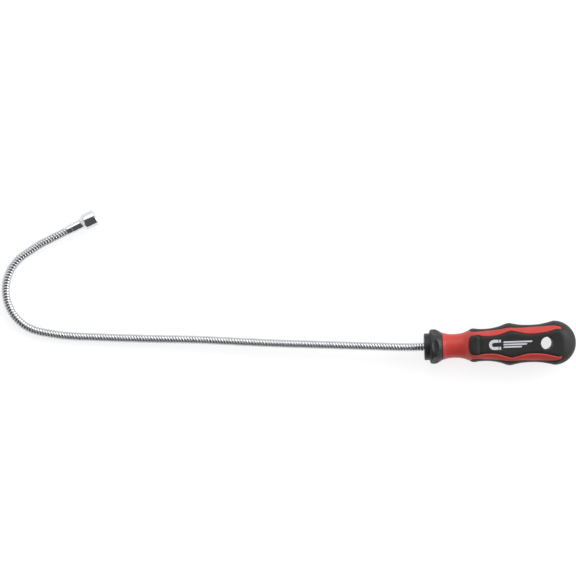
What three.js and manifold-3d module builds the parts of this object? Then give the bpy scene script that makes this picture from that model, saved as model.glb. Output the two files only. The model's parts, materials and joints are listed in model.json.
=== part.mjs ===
// A flexible magnetic pick-up tool: a two-colour grip, a bendable steel gooseneck and a magnet in a
// chromed cup. Millimetres, +Z up. The tool lies on z = 0 with its handle along X, butt towards +X.
// The origin is under the handle, in the middle of its flat underside.
import * as THREE from "three";
import { mergeVertices } from "three/addons/utils/BufferGeometryUtils.js";
import Module from "manifold-3d";

const wasm = await Module();
wasm.setup();

// ---- Driving sizes. Places along the handle are distances from its front face. ----
const gap = 0.3; // clearance between pieces that touch or sit in one another

const stubRadius = 10.35;
const stubLength = 4;
const collarRadius = 13.35;
const collarEnd = 13.5;
const scallopCount = 6;
const scallopLength = 5;
const scallopWidth = 10.6;
const scallopDepth = 1.1;
const rodRadius = 6.4;
const rodEnd = 82;

const neckRadius = 9.2;
const shoulderRadius = 13.05;
const frontWaist = 12.4;
const bulgeRadius = 16.35;
const rearWaist = 14.45;
const domeRadius = 17.15;
const domeStart = 99.9;
const domeLength = 17.3;
const bandEnd = domeStart + 5.7; // rear end of the body's four visible bands
const gripHeight = 14.6; // half height of the squared section before its flats are cut
const flatHeight = 13.35; // half distance across the two flats
const gripSquareness = 2.6; // exponent of the squared section, 2 being an ellipse
const gripThickness = 2; // soft layer over the hard body
const panelStart = 33.7;

const hangHoleAt = 94.3;
const hangHoleRadius = 4.9;
const liningWall = 1.6;

const coilRadius = 3.3;
const coilWall = 1.1;
const springRadius = coilRadius - coilWall - gap;
const springWall = 0.8;
const rootDepth = 33; // how far the gooseneck goes into the handle
const sleeveWall = 1.1;
const sleeveStart = 2.4;

const rootReach = 13.5; // front face to the first pivot
const shaftStep = 27;
const shaftSway = [3.6, 0, 1, -1.7, 1]; // rest bends to the side, degrees
const hookLead = 21;
const hookLeadBend = 6.5;
const hookEntry = 16.5;
const hookEntryBend = 4.5;
const hookStep = 11;
const hookBends = 7;
const hookBend = 19;
const tailStep = 10;
const tailBend = 7.8;
const lastReach = 14; // last pivot to the head

const ferruleLength = 12.5;
const ferruleWall = 1.45;
const ferruleStep = 0.25;
const ferruleStepAt = 4.2;
const ferruleDepth = 8; // how far the spring goes into the ferrule
const coneLength = 2.7;
const cupRadius = 6.35;
const cupLength = 9.1;
const cupWall = 1;
const magnetLength = 5;
const magnetRecess = 0.3;
const plateThickness = 1.2;
const spacerWall = 0.5;

const handleLength = domeStart + domeLength;
const restAt = (panelStart + bandEnd) / 2; // the origin's place along the handle

// ---- Tools for turned, squared and cut solids ----
const points = (pairs) => pairs.map(([x, y]) => new THREE.Vector2(x, y));

// A solid of revolution about X, from [place along X, radius] pairs.
function turned(pairs, sides) {
  const profile = pairs.map(([x, radius]) => new THREE.Vector2(radius, x));
  return new THREE.LatheGeometry(profile, sides).rotateZ(-Math.PI / 2);
}

// The same for a tube or ring, whose profile closes on itself.
const turnedRing = (pairs, sides) => turned([...pairs, pairs[0]], sides);

function solid(geometry) {
  const bare = geometry.clone();
  bare.deleteAttribute("normal");
  bare.deleteAttribute("uv");
  const merged = mergeVertices(bare, 1e-4);
  return new wasm.Manifold(
    new wasm.Mesh({
      numProp: 3,
      vertProperties: merged.attributes.position.array,
      triVerts: new Uint32Array(merged.index.array),
    }),
  );
}

function surface(made) {
  const mesh = made.getMesh();
  const geometry = new THREE.BufferGeometry();
  geometry.setAttribute("position", new THREE.BufferAttribute(mesh.vertProperties, 3));
  geometry.setIndex(new THREE.BufferAttribute(mesh.triVerts, 1));
  geometry.computeVertexNormals();
  return geometry;
}

function piece(name, geometry, color, roughness, metalness) {
  const material = new THREE.MeshStandardMaterial({ color, roughness, metalness });
  const mesh = new THREE.Mesh(geometry, material);
  mesh.name = name;
  return mesh;
}

// ---- Handle ----
// The grip's outline seen from above: neck, shoulder, front waist, bulge, rear waist and flare.
const outline = new THREE.SplineCurve(
  points([
    [collarEnd + gap, neckRadius + 1.6],
    [18, neckRadius + 0.35],
    [23.5, neckRadius],
    [29, neckRadius + 0.55],
    [33.5, (neckRadius + shoulderRadius) / 2 + 0.2],
    [36.2, shoulderRadius - 0.35],
    [38.5, shoulderRadius],
    [41.5, frontWaist + 0.2],
    [46.5, frontWaist],
    [52, frontWaist + 0.4],
    [58, frontWaist + 1.65],
    [63.5, bulgeRadius - 0.35],
    [66.2, bulgeRadius],
    [69, bulgeRadius - 0.55],
    [75, rearWaist + 0.3],
    [82, rearWaist],
    [89, rearWaist + 0.35],
    [95, rearWaist + 1.4],
    [domeStart + 0.4, domeRadius],
  ]),
);
const outlineSteps = 23;
const domeSteps = 6;

// [place, half width] pairs from one place to another, inset all round, ending on the axis.
function gripProfile(from, to, inset) {
  const pairs = outline
    .getPoints(outlineSteps)
    .filter((p) => p.x >= from && p.x <= to)
    .map((p) => [p.x, p.y - inset]);
  const length = domeLength - inset;
  const radius = domeRadius - inset;
  for (let i = 1; i <= domeSteps; i++) {
    const angle = (i / domeSteps) * (Math.PI / 2);
    const x = domeStart + length * Math.sin(angle);
    if (x > outline.points.at(-1).x + 0.5 && x < to) pairs.push([x, radius * Math.cos(angle)]);
  }
  const end = Math.min(to, domeStart + length);
  return [[pairs[0][0], 0], ...pairs, [end, 0]];
}

// Turns a round solid into the grip's section: square with soft corners, and flat above and below.
function squareOff(geometry, inset) {
  const places = geometry.attributes.position;
  const full = gripHeight - inset;
  for (let i = 0; i < places.count; i++) {
    const x = places.getX(i);
    const radius = Math.hypot(places.getY(i), places.getZ(i));
    const angle = Math.atan2(places.getZ(i), places.getY(i));
    const squared = THREE.MathUtils.smoothstep(x, panelStart - 4, panelStart + 8);
    const power = THREE.MathUtils.lerp(2, gripSquareness, squared);
    const tall = x < domeStart ? full : (full * radius) / (domeRadius - inset);
    const high = THREE.MathUtils.lerp(radius, tall, squared);
    const share = (value) => Math.sign(value) * Math.abs(value) ** (2 / power);
    const z = high * share(Math.sin(angle));
    const flat = flatHeight - inset;
    places.setXYZ(i, x, radius * share(Math.cos(angle)), THREE.MathUtils.clamp(z, -flat, flat));
  }
  return geometry;
}

const gripSides = 24;
const grip = (from, to, inset) =>
  solid(squareOff(turned(gripProfile(from, to, inset), gripSides), inset));

const panelSteps = 17;

// A panel's outline, mirrored about the handle's axis and extruded right through the handle.
function panelPrism(halfOutline, inset) {
  const half = new THREE.SplineCurve(points(halfOutline)).getPoints(panelSteps);
  const inner = half.map((p) => [p.x, Math.max(p.y - inset, 0.2)]);
  inner[0][0] += inset;
  const shape = new THREE.Shape(points([...inner, ...inner.map(([x, y]) => [x, -y]).reverse()]));
  const depth = 4 * domeRadius;
  const geometry = new THREE.ExtrudeGeometry(shape, { depth, bevelEnabled: false });
  return geometry.translate(0, 0, -depth / 2);
}

// Front and back panels: a rounded start, a waist, a diamond at the bulge, then widening.
const facePanel = [
  [panelStart, 0.2],
  [panelStart + 1.2, 5],
  [panelStart + 3, 7.6],
  [39.5, 8.35],
  [42.2, 8.1],
  [44.6, 7.3],
  [50, 7.1],
  [55, 7.5],
  [61, 9.2],
  [66.3, 10.85],
  [72, 9.65],
  [77.5, 8.3],
  [83, 7.9],
  [90, 8.35],
  [96, 9.5],
  [bandEnd + 1.5, 12.6],
];

// Side panels, which show as the dark edges of the outline.
const sidePanel = [
  [panelStart + 1, 0.2],
  [panelStart + 2.4, 6.4],
  [39.5, 10.1],
  [44, 9.3],
  [48, 8.7],
  [55, 9.2],
  [60, 10.1],
  [66.3, 10.9],
  [72, 10],
  [82, 8.55],
  [90, 8.9],
  [96, 9.8],
  [bandEnd + 1.5, 12.2],
];

const panels = (inset) =>
  solid(panelPrism(facePanel, inset)).add(solid(panelPrism(sidePanel, inset).rotateX(Math.PI / 2)));

const hangHole = (radius) =>
  solid(
    new THREE.CylinderGeometry(radius, radius, 4 * domeRadius, 24)
      .rotateX(Math.PI / 2)
      .translate(hangHoleAt, 0, 0),
  );

const liningRadius = hangHoleRadius + liningWall;

// Hard red body: the neck, the four bands and the core that the soft grip is moulded round.
function handleBody() {
  const bands = grip(collarEnd, bandEnd, 0).subtract(panels(0));
  const core = grip(panelStart - 3, handleLength, gripThickness);
  const bore = turned(
    [
      [0, 0],
      [0, rodRadius + gap],
      [rodEnd + gap, rodRadius + gap],
      [rodEnd + gap, 0],
    ],
    24,
  );
  return surface(bands.add(core).subtract(solid(bore)).subtract(hangHole(liningRadius + gap)));
}

// Soft black grip: dome, front, back and side panels and the hang hole's lining, in one moulding.
function gripOvermould() {
  const whole = grip(panelStart - 2, handleLength, 0);
  const inside = grip(panelStart - 3, handleLength, gripThickness - gap);
  const size = 4 * domeRadius;
  const block = new THREE.BoxGeometry(size, size, size);
  const rear = solid(block.translate(bandEnd + gap + size / 2, 0, 0));
  const skin = whole.intersect(panels(gap).add(rear)).subtract(inside);
  const lining = whole.intersect(hangHole(liningRadius));
  return surface(skin.add(lining).subtract(hangHole(hangHoleRadius)));
}

// Hard black core: front stub, scalloped collar and the rod inside the body, bored for the sleeve.
function handleCore() {
  const boreRadius = coilRadius + gap;
  const sleeveBore = coilRadius + gap + sleeveWall + gap;
  const sleeveEnd = rootDepth + 2 * gap;
  const blank = turned(
    [
      [0, 0],
      [0, stubRadius - 0.5],
      [0.5, stubRadius],
      [stubLength, stubRadius],
      [stubLength + 0.4, collarRadius - 1],
      [stubLength + 1.2, collarRadius - 0.25],
      [stubLength + 2.6, collarRadius],
      [collarEnd - 4.8, collarRadius - 0.1],
      [collarEnd - 3.2, collarRadius - 0.7],
      [collarEnd - 1.6, collarRadius - 1.6],
      [collarEnd, collarRadius - 2.6],
      [collarEnd, rodRadius],
      [rodEnd, rodRadius],
      [rodEnd, 0],
    ],
    36,
  );
  const bore = turned(
    [
      [-1, 0],
      [-1, boreRadius],
      [sleeveStart - gap, boreRadius],
      [sleeveStart - gap, sleeveBore],
      [sleeveEnd, sleeveBore],
      [sleeveEnd, 0],
    ],
    24,
  );
  let core = solid(blank).subtract(solid(bore));
  for (let i = 0; i < scallopCount; i++) {
    const scallop = new THREE.SphereGeometry(1, 12, 8);
    scallop.scale(scallopLength / 2, scallopWidth / 2, 2 * scallopDepth);
    scallop.translate(stubLength + 4.2, 0, collarRadius + scallopDepth);
    scallop.rotateX((i / scallopCount) * 2 * Math.PI);
    core = core.subtract(solid(scallop));
  }
  return surface(core);
}

// Steel sleeve crimped on the gooseneck's end, with three grooves that lock it in the core.
function anchorSleeve() {
  const inner = coilRadius + gap;
  const outer = inner + sleeveWall;
  const groove = outer - 0.4;
  const length = rootDepth - sleeveStart;
  const wall = [[0, outer]];
  for (let i = 1; i <= 3; i++) {
    const middle = (length * i) / 4;
    wall.push([middle - 1.4, outer], [middle - 1, groove], [middle + 1, groove], [middle + 1.4, outer]);
  }
  wall.push([length, outer], [length, inner], [0, inner]);
  return turnedRing(wall, 16).translate(sleeveStart, 0, 0);
}

// ---- Gooseneck ----
const bore = coilRadius - coilWall;
const socketRadius = coilRadius + gap;

// Points on a circle about [centre, 0], from one radius to another, steps apart in angle.
function arc(centre, radius, fromRadius, toRadius, steps) {
  const from = Math.asin(fromRadius / radius);
  const to = Math.asin(toRadius / radius);
  return Array.from({ length: steps + 1 }, (_, i) => {
    const angle = THREE.MathUtils.lerp(from, to, i / steps);
    return [centre + radius * Math.cos(angle), radius * Math.sin(angle)];
  });
}

// One length of the outer wire's winding: a socket at its start and a ball at its end.
function coilLength(length, hasSocket, hasBall, start = 0) {
  const head = hasSocket
    ? arc(0, socketRadius, bore, coilRadius, 2)
    : [
        [start, bore],
        [start, coilRadius],
      ];
  const tail = hasBall
    ? arc(length, coilRadius, coilRadius, bore, 2)
    : [
        [length, coilRadius],
        [length, bore],
      ];
  return turnedRing([...head, ...tail], 12);
}

// The inner spring beneath it, ending inside the ball.
function springLength(from, to) {
  const inner = springRadius - springWall;
  return turnedRing(
    [
      [from, springRadius],
      [to, springRadius],
      [to, inner],
      [from, inner],
    ],
    8,
  );
}

// Every pivot in order: its distance from the one before, the axis it bends on and its rest bend.
const descent = Math.asin((flatHeight - coilRadius) / (shaftStep * 2 * (shaftSway.length - 1)));
const lift = Math.asin((cupRadius - coilRadius) / (2 * tailStep));
const side = (step, degrees) => ({ step, axis: "z", bend: -THREE.MathUtils.degToRad(degrees) });
const upright = (step, bend) => ({ step, axis: "y", bend });
const pivots = [];
shaftSway.forEach((degrees, i) => {
  const first = i === 0;
  const last = i === shaftSway.length - 1;
  pivots.push(side(first ? rootReach : shaftStep, degrees));
  pivots.push(upright(shaftStep, first ? descent : last ? -descent : 0));
});
pivots.push(side(hookLead, hookLeadBend), side(hookEntry, hookEntryBend));
for (let i = 0; i < hookBends; i++) pivots.push(side(hookStep, hookBend));
pivots.push(upright(tailStep, -lift), side(tailStep, tailBend), upright(tailStep, lift));

const twoDigits = (number) => String(number).padStart(2, "0");
const coilPiece = (i, geometry) => piece(`outer_coil_${twoDigits(i)}`, geometry, 0xc9ccd0, 0.25, 1);
const springPiece = (i, geometry) => piece(`inner_coil_${twoDigits(i)}`, geometry, 0x9a9da1, 0.4, 1);

const ballMouth = Math.sqrt(coilRadius ** 2 - bore ** 2); // the ball's open end, past its pivot
const springStart = socketRadius + 0.1;

// The gooseneck from the handle to the head, each length hung from the one before at its pivot.
function gooseneck(head) {
  const root = new THREE.Group();
  root.rotation.z = Math.PI;
  const first = pivots[0].step;
  root.add(coilPiece(0, coilLength(first, false, true, -rootDepth)));
  root.add(springPiece(0, springLength(-rootDepth, first + ballMouth)));
  let parent = root;
  pivots.forEach((pivot, i) => {
    const isLast = i === pivots.length - 1;
    const length = isLast ? lastReach : pivots[i + 1].step;
    const link = new THREE.Group();
    link.name = `link_${twoDigits(i + 1)}`;
    link.position.x = pivot.step;
    link.rotation[pivot.axis] = pivot.bend;
    link.add(coilPiece(i + 1, coilLength(length - (isLast ? gap : 0), true, !isLast)));
    const springEnd = isLast ? length + ferruleDepth - gap : length + ballMouth;
    link.add(springPiece(i + 1, springLength(springStart, springEnd)));
    parent.add(link);
    parent = link;
  });
  head.position.x = lastReach;
  parent.add(head);
  return root;
}

// ---- Head ----
function magnetHead() {
  const group = new THREE.Group();
  group.name = "head";
  const cupStart = ferruleLength + coneLength;
  const end = cupStart + cupLength;
  const pocketRadius = cupRadius - cupWall;
  const pocketDepth = magnetRecess + magnetLength + gap + plateThickness + gap;
  const ferruleBore = springRadius + gap;
  const ferruleRadius = ferruleBore + ferruleWall;
  const stepRadius = ferruleRadius + ferruleStep;
  const shell = turnedRing(
    [
      [0, ferruleBore],
      [0, ferruleRadius - 0.3],
      [0.3, ferruleRadius],
      [ferruleStepAt, ferruleRadius],
      [ferruleStepAt + 0.3, stepRadius],
      [ferruleLength, stepRadius],
      [cupStart, cupRadius - 0.35],
      [cupStart + 0.5, cupRadius],
      [end - 0.4, cupRadius],
      [end, cupRadius - 0.4],
      [end, pocketRadius],
      [end - pocketDepth, pocketRadius],
      [end - pocketDepth, ferruleBore],
    ],
    32,
  );
  const disc = (from, to, radius) => {
    const profile = [
      [from, 0],
      [from, radius],
      [to, radius],
      [to, 0],
    ];
    return turned(profile, 24);
  };
  const insideRadius = pocketRadius - gap;
  const magnetRadius = insideRadius - spacerWall - gap;
  const magnetEnd = end - magnetRecess;
  const magnetStart = magnetEnd - magnetLength;
  const plateEnd = magnetStart - gap;
  const spacer = turnedRing(
    [
      [magnetStart, insideRadius],
      [magnetEnd, insideRadius],
      [magnetEnd, insideRadius - spacerWall],
      [magnetStart, insideRadius - spacerWall],
    ],
    24,
  );
  group.add(piece("head_shell", shell, 0xdfe1e4, 0.12, 1));
  group.add(piece("magnet", disc(magnetStart, magnetEnd, magnetRadius), 0x8f9194, 0.35, 1));
  group.add(piece("magnet_spacer", spacer, 0xb08d4c, 0.35, 1));
  group.add(piece("pole_plate", disc(plateEnd - plateThickness, plateEnd, insideRadius), 0x6f7174, 0.4, 1));
  return group;
}

// ---- Assembly ----
const tool = new THREE.Group();
tool.position.set(-restAt, 0, flatHeight);
tool.add(piece("handle_core", handleCore(), 0x2b2c2d, 0.5, 0));
tool.add(piece("handle_body", handleBody(), 0xbf3a34, 0.4, 0));
tool.add(piece("grip_overmould", gripOvermould(), 0x2e3030, 0.8, 0));
tool.add(piece("anchor_sleeve", anchorSleeve(), 0x8a8c8f, 0.45, 1));
tool.add(gooseneck(magnetHead()));

const model = new THREE.Group();
model.add(tool);
export default model;
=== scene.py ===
import json
import math

import bmesh
import bpy
import numpy as np
from mathutils import Matrix, Vector

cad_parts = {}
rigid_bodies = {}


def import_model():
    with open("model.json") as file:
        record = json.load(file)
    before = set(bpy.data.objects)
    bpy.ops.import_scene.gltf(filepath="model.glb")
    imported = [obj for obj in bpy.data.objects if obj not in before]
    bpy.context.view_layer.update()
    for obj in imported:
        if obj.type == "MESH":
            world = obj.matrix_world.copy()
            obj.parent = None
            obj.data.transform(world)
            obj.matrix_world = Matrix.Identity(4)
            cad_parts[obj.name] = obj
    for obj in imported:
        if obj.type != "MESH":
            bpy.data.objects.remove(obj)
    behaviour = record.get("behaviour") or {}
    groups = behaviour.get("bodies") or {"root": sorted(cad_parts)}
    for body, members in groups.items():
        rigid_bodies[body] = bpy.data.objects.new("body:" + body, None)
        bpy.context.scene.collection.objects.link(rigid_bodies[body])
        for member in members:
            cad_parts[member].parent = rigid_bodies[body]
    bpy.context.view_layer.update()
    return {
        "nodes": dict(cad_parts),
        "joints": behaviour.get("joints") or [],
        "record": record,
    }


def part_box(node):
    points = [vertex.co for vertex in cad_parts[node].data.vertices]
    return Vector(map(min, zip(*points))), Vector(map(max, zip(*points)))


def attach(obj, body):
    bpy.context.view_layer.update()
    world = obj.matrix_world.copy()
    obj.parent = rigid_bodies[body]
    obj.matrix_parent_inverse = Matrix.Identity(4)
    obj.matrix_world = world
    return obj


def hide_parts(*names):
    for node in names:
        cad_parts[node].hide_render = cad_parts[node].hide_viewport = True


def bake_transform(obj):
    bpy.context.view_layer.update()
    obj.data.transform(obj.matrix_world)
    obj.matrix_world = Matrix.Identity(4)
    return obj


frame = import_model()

mm = 0.001
mounts = {mount["name"]: mount for mount in frame["record"]["mounts"]}

# Places along the handle are millimetres from its front face; heights are from its axis
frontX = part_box("handle_core")[0].x
axisZ = mounts["handle_top"]["pos_m"][2] / 2
buttAt = (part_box("grip_overmould")[1].x - frontX) / mm
flatAt = axisZ / mm


# Camera straight above, turned a little, framed on the object's own width
cameraSizes = {"turn": -1.85, "height": 2.6, "sensor": 36, "widthShare": 1.0005, "clipEnd": 20}


def makeCamera():
    turn = Matrix.Rotation(math.radians(cameraSizes["turn"]), 3, "Z")
    corners = [turn.inverted() @ v.co for node in frame["nodes"].values() for v in node.data.vertices]
    spread = np.array(corners)
    low, high = spread.min(0), spread.max(0)
    middle = turn @ Vector((low + high) / 2)
    data = bpy.data.cameras.new("camera")
    data.sensor_width = cameraSizes["sensor"]
    width = (high[0] - low[0]) * cameraSizes["widthShare"]
    data.lens = cameraSizes["sensor"] * (cameraSizes["height"] - axisZ) / width
    data.clip_end = cameraSizes["clipEnd"]
    camera = bpy.data.objects.new("camera", data)
    camera.location = (middle.x, middle.y, cameraSizes["height"])
    camera.rotation_euler = (0, 0, math.radians(cameraSizes["turn"]))
    bpy.context.scene.collection.objects.link(camera)
    bpy.context.scene.camera = camera
    return middle


# Soft boxes round the object: place from its middle, size across and up, watts. The diffuseOnly boxes do
# not show in reflections.
lightBoxes = {
    "keyBox": {"place": (0.1, 1.75, 1.55), "size": (3.2, 1.7), "watts": 20},
    "fillBox": {"place": (0, -1.9, 0.6), "size": (3.0, 0.5), "watts": 6, "diffuseOnly": True},
    "endBox": {"place": (1.9, 0.5, 1.0), "size": (1.6, 1.2), "watts": 34},
    "topBox": {"place": (0.3, 0.7, 2.2), "size": (1.8, 1.8), "watts": 9, "diffuseOnly": True},
}
# The room is pale, but dark overhead and on the near side between its two ends, which gives chrome its dark
# line. The floor glows like a light table, so little shadow is left on it.
studio = {
    "pale": 0.85, "dark": 0.10, "nearEdge": (0.20, 0.50), "ends": (0.50, 0.80), "horizon": (0.05, 0.0),
    "floorTone": 0.25, "floorGlow": 0.80, "floorSize": 40, "floorRough": 0.9, "cloudScale": 3.0,
    "cloudTone": 0.99,
}


def makeStudio(middle):
    for name, box in lightBoxes.items():
        data = bpy.data.lights.new(name, "AREA")
        data.shape = "RECTANGLE"
        data.size, data.size_y = box["size"]
        data.energy = box["watts"]
        light = bpy.data.objects.new(name, data)
        light.visible_glossy = not box.get("diffuseOnly", False)
        light.location = Vector(box["place"]) + Vector((middle.x, middle.y, 0))
        aim = Vector((middle.x, middle.y, 0)) - light.location
        light.rotation_euler = aim.to_track_quat("-Z", "Y").to_euler()
        bpy.context.scene.collection.objects.link(light)
    world = bpy.data.worlds.new("studio")
    world.use_nodes = True
    nodes, links = world.node_tree.nodes, world.node_tree.links
    nodes.clear()
    place = nodes.new("ShaderNodeTexCoord")
    split = nodes.new("ShaderNodeSeparateXYZ")
    sky = nodes.new("ShaderNodeBackground")
    out = nodes.new("ShaderNodeOutputWorld")
    links.new(place.outputs["Generated"], split.inputs[0])
    far = addSteps(world.node_tree, split.outputs["Y"], *studio["nearEdge"])
    low = addSteps(world.node_tree, split.outputs["Z"], *studio["horizon"])
    ends = addMath(world.node_tree, "ABSOLUTE", split.outputs["X"], None)
    ends = addSteps(world.node_tree, ends, *studio["ends"])
    pale = addMath(world.node_tree, "MAXIMUM", far, addMath(world.node_tree, "MAXIMUM", low, ends))
    tone = addRange(world.node_tree, pale, studio["dark"], studio["pale"])
    links.new(tone, sky.inputs["Color"])
    links.new(sky.outputs["Background"], out.inputs["Surface"])
    bpy.context.scene.world = world
    bpy.context.scene.view_settings.view_transform = "Standard"


# Node groups that several materials share
def newGroup(name, inputs, outputs):
    group = bpy.data.node_groups.new(name, "ShaderNodeTree")
    for label, kind, value in inputs:
        socket = group.interface.new_socket(label, in_out="INPUT", socket_type="NodeSocket" + kind)
        if value is not None:
            socket.default_value = value
    for label in outputs:
        group.interface.new_socket(label, in_out="OUTPUT", socket_type="NodeSocketFloat")
    return group, group.nodes.new("NodeGroupInput"), group.nodes.new("NodeGroupOutput")


def addMath(tree, operation, first, second, clamp=False):
    node = tree.nodes.new("ShaderNodeMath")
    node.operation, node.use_clamp = operation, clamp
    for socket, value in zip(node.inputs, (first, second)):
        if isinstance(value, (int, float)):
            socket.default_value = value
        elif value is not None:
            tree.links.new(value, socket)
    return node.outputs[0]


def addNoise(tree, vector, scale, detail=3, roughness=0.5):
    node = tree.nodes.new("ShaderNodeTexNoise")
    node.inputs["Detail"].default_value = detail
    node.inputs["Roughness"].default_value = roughness
    tree.links.new(vector, node.inputs["Vector"])
    if isinstance(scale, (int, float)):
        node.inputs["Scale"].default_value = scale
    else:
        tree.links.new(scale, node.inputs["Scale"])
    return node.outputs["Fac"]


def addSteps(tree, value, low, high):
    node = tree.nodes.new("ShaderNodeMapRange")
    node.interpolation_type = "SMOOTHSTEP"
    tree.links.new(value, node.inputs["Value"])
    node.inputs["From Min"].default_value = low
    node.inputs["From Max"].default_value = high
    return node.outputs["Result"]


# Noise scale, detail and roughness of each shared group, and where its mask starts and ends
groupLooks = {
    "grain": {"scale": 2500.0, "toothScale": 2.3, "bumps": 0.7, "tooth": 0.5, "tone": (0.45, 1.0)},
    "clouds": {"scale": 60.0, "detail": 4, "rough": 0.6, "mask": (0.32, 0.7)},
    "wear": {"scale": 700.0, "detail": 5, "rough": 0.65, "patchLift": 0.25, "mask": (0.42, 0.85)},
    "scratches": {"scale": 900.0, "detail": 2, "rough": 0.4, "stretch": (0.12, 1, 1), "turn": (0, 0, 0.5),
                  "mask": (0.56, 0.66)},
}


# Moulded grain: small rounded bumps over a finer tooth
def makeGrain():
    look = groupLooks["grain"]
    inputs = [("Vector", "Vector", None), ("Scale", "Float", look["scale"])]
    group, start, end = newGroup("mouldGrain", inputs, ["Height", "Tone"])
    cells = group.nodes.new("ShaderNodeTexVoronoi")
    cells.feature = "SMOOTH_F1"
    group.links.new(start.outputs["Vector"], cells.inputs["Vector"])
    group.links.new(start.outputs["Scale"], cells.inputs["Scale"])
    toothScale = addMath(group, "MULTIPLY", start.outputs["Scale"], look["toothScale"])
    tooth = addNoise(group, start.outputs["Vector"], toothScale)
    bumps = addMath(group, "SUBTRACT", 1.0, cells.outputs["Distance"])
    bumps = addMath(group, "MULTIPLY", bumps, look["bumps"])
    height = addMath(group, "ADD", bumps, addMath(group, "MULTIPLY", tooth, look["tooth"]))
    group.links.new(height, end.inputs["Height"])
    group.links.new(addSteps(group, height, *look["tone"]), end.inputs["Tone"])
    return group


# Broad cloudy variation, as handling and moulding leave
def makeClouds():
    look = groupLooks["clouds"]
    inputs = [("Vector", "Vector", None), ("Scale", "Float", look["scale"])]
    group, start, end = newGroup("handledClouds", inputs, ["Mask"])
    broad = addNoise(group, start.outputs["Vector"], start.outputs["Scale"], look["detail"], look["rough"])
    group.links.new(addSteps(group, broad, *look["mask"]), end.inputs["Mask"])
    return group


# Wear on corners, and painted shade in the metals' grooves: the edge value is 1 on an edge or deep in a
# groove, and noise breaks it up
def makeWear():
    look = groupLooks["wear"]
    group, start, end = newGroup("edgeWearAndGrooveShade", [("Vector", "Vector", None), ("Edge", "Float", 0.0),
                                              ("Scale", "Float", look["scale"])], ["Mask"])
    patches = addNoise(group, start.outputs["Vector"], start.outputs["Scale"], look["detail"], look["rough"])
    patches = addMath(group, "ADD", patches, look["patchLift"])
    worn = addMath(group, "MULTIPLY", start.outputs["Edge"], patches)
    group.links.new(addSteps(group, worn, *look["mask"]), end.inputs["Mask"])
    return group


# Fine handling scratches: noise drawn out along the part
def makeScratches():
    look = groupLooks["scratches"]
    inputs = [("Vector", "Vector", None), ("Scale", "Float", look["scale"])]
    group, start, end = newGroup("fineScratches", inputs, ["Height", "Mask"])
    stretch = group.nodes.new("ShaderNodeMapping")
    stretch.inputs["Scale"].default_value = look["stretch"]
    stretch.inputs["Rotation"].default_value = look["turn"]
    group.links.new(start.outputs["Vector"], stretch.inputs["Vector"])
    lines = addNoise(group, stretch.outputs["Vector"], start.outputs["Scale"], look["detail"], look["rough"])
    group.links.new(lines, end.inputs["Height"])
    group.links.new(addSteps(group, lines, *look["mask"]), end.inputs["Mask"])
    return group


groups = {"grain": makeGrain(), "clouds": makeClouds(), "wear": makeWear(), "scratches": makeScratches()}
print("shared node groups made")


def addGroup(tree, kind, vector, **values):
    node = tree.nodes.new("ShaderNodeGroup")
    node.node_tree = groups[kind]
    tree.links.new(vector, node.inputs["Vector"])
    for label, value in values.items():
        if isinstance(value, (int, float)):
            node.inputs[label].default_value = value
        else:
            tree.links.new(value, node.inputs[label])
    return node.outputs


def addMix(tree, mask, first, second):
    node = tree.nodes.new("ShaderNodeMix")
    node.data_type = "RGBA"
    tree.links.new(mask, node.inputs["Factor"])
    for socket, value in ((node.inputs[6], first), (node.inputs[7], second)):
        if isinstance(value, tuple):
            socket.default_value = (*value, 1)
        else:
            tree.links.new(value, socket)
    return node.outputs[2]


def addRange(tree, value, low, high):
    node = tree.nodes.new("ShaderNodeMapRange")
    tree.links.new(value, node.inputs["Value"])
    node.inputs["To Min"].default_value = low
    node.inputs["To Max"].default_value = high
    return node.outputs["Result"]


def addBump(tree, height, depth, normal=None):
    node = tree.nodes.new("ShaderNodeBump")
    node.inputs["Distance"].default_value = depth * mm
    tree.links.new(height, node.inputs["Height"])
    if normal is not None:
        tree.links.new(normal, node.inputs["Normal"])
    return node.outputs["Normal"]


def newMaterial(name, **values):
    material = bpy.data.materials.new(name)
    material.use_nodes = True
    tree = material.node_tree
    shader = tree.nodes["Principled BSDF"]
    for label, value in values.items():
        socket = shader.inputs[label.replace("_", " ")]
        socket.default_value = value
    vector = tree.nodes.new("ShaderNodeTexCoord").outputs["Object"]
    return material, tree, shader, vector


def readEdge(tree, name):
    node = tree.nodes.new("ShaderNodeAttribute")
    node.attribute_name = name
    return node.outputs["Fac"]


# Moulded plastics and rubber: colour, its lighter tone, roughness range, grain size and depth
plastics = {
    "bodyRed": {"color": (0.44, 0.036, 0.029), "light": (0.50, 0.050, 0.042), "worn": (0.66, 0.13, 0.10),
                "rough": (0.34, 0.46), "grainScale": 1500, "grainDepth": 0.010, "gloss": 0.3, "coat": 0.05},
    "gripBlack": {"color": (0.012, 0.013, 0.012), "light": (0.022, 0.023, 0.022),
                  "worn": (0.075, 0.075, 0.072), "rough": (0.50, 0.66), "grainScale": 2300,
                  "grainDepth": 0.055, "gloss": 0.3, "coat": 0.0},
    "coreBlack": {"color": (0.017, 0.018, 0.019), "light": (0.025, 0.026, 0.027), "worn": (0.08, 0.08, 0.08),
                  "rough": (0.34, 0.48), "grainScale": 3200, "grainDepth": 0.016, "gloss": 0.28,
                  "coat": 0.03},
    "printWhite": {"color": (0.50, 0.51, 0.54), "light": (0.62, 0.63, 0.66), "worn": (0.36, 0.37, 0.39),
                   "rough": (0.42, 0.60), "grainScale": 2600, "grainDepth": 0.012, "gloss": 0.35,
                   "coat": 0.0},
}
# What all plastics share: pattern scales, how much each pattern shows, and the scratches' depth
plasticFinish = {"coatRough": 0.25, "cloudScale": 70.0, "wearScale": 650.0, "scratchScale": 800.0,
                 "cloudShare": 0.35, "wearShare": 0.6, "scratchRough": 0.06, "scratchDepth": 0.004}


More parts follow.
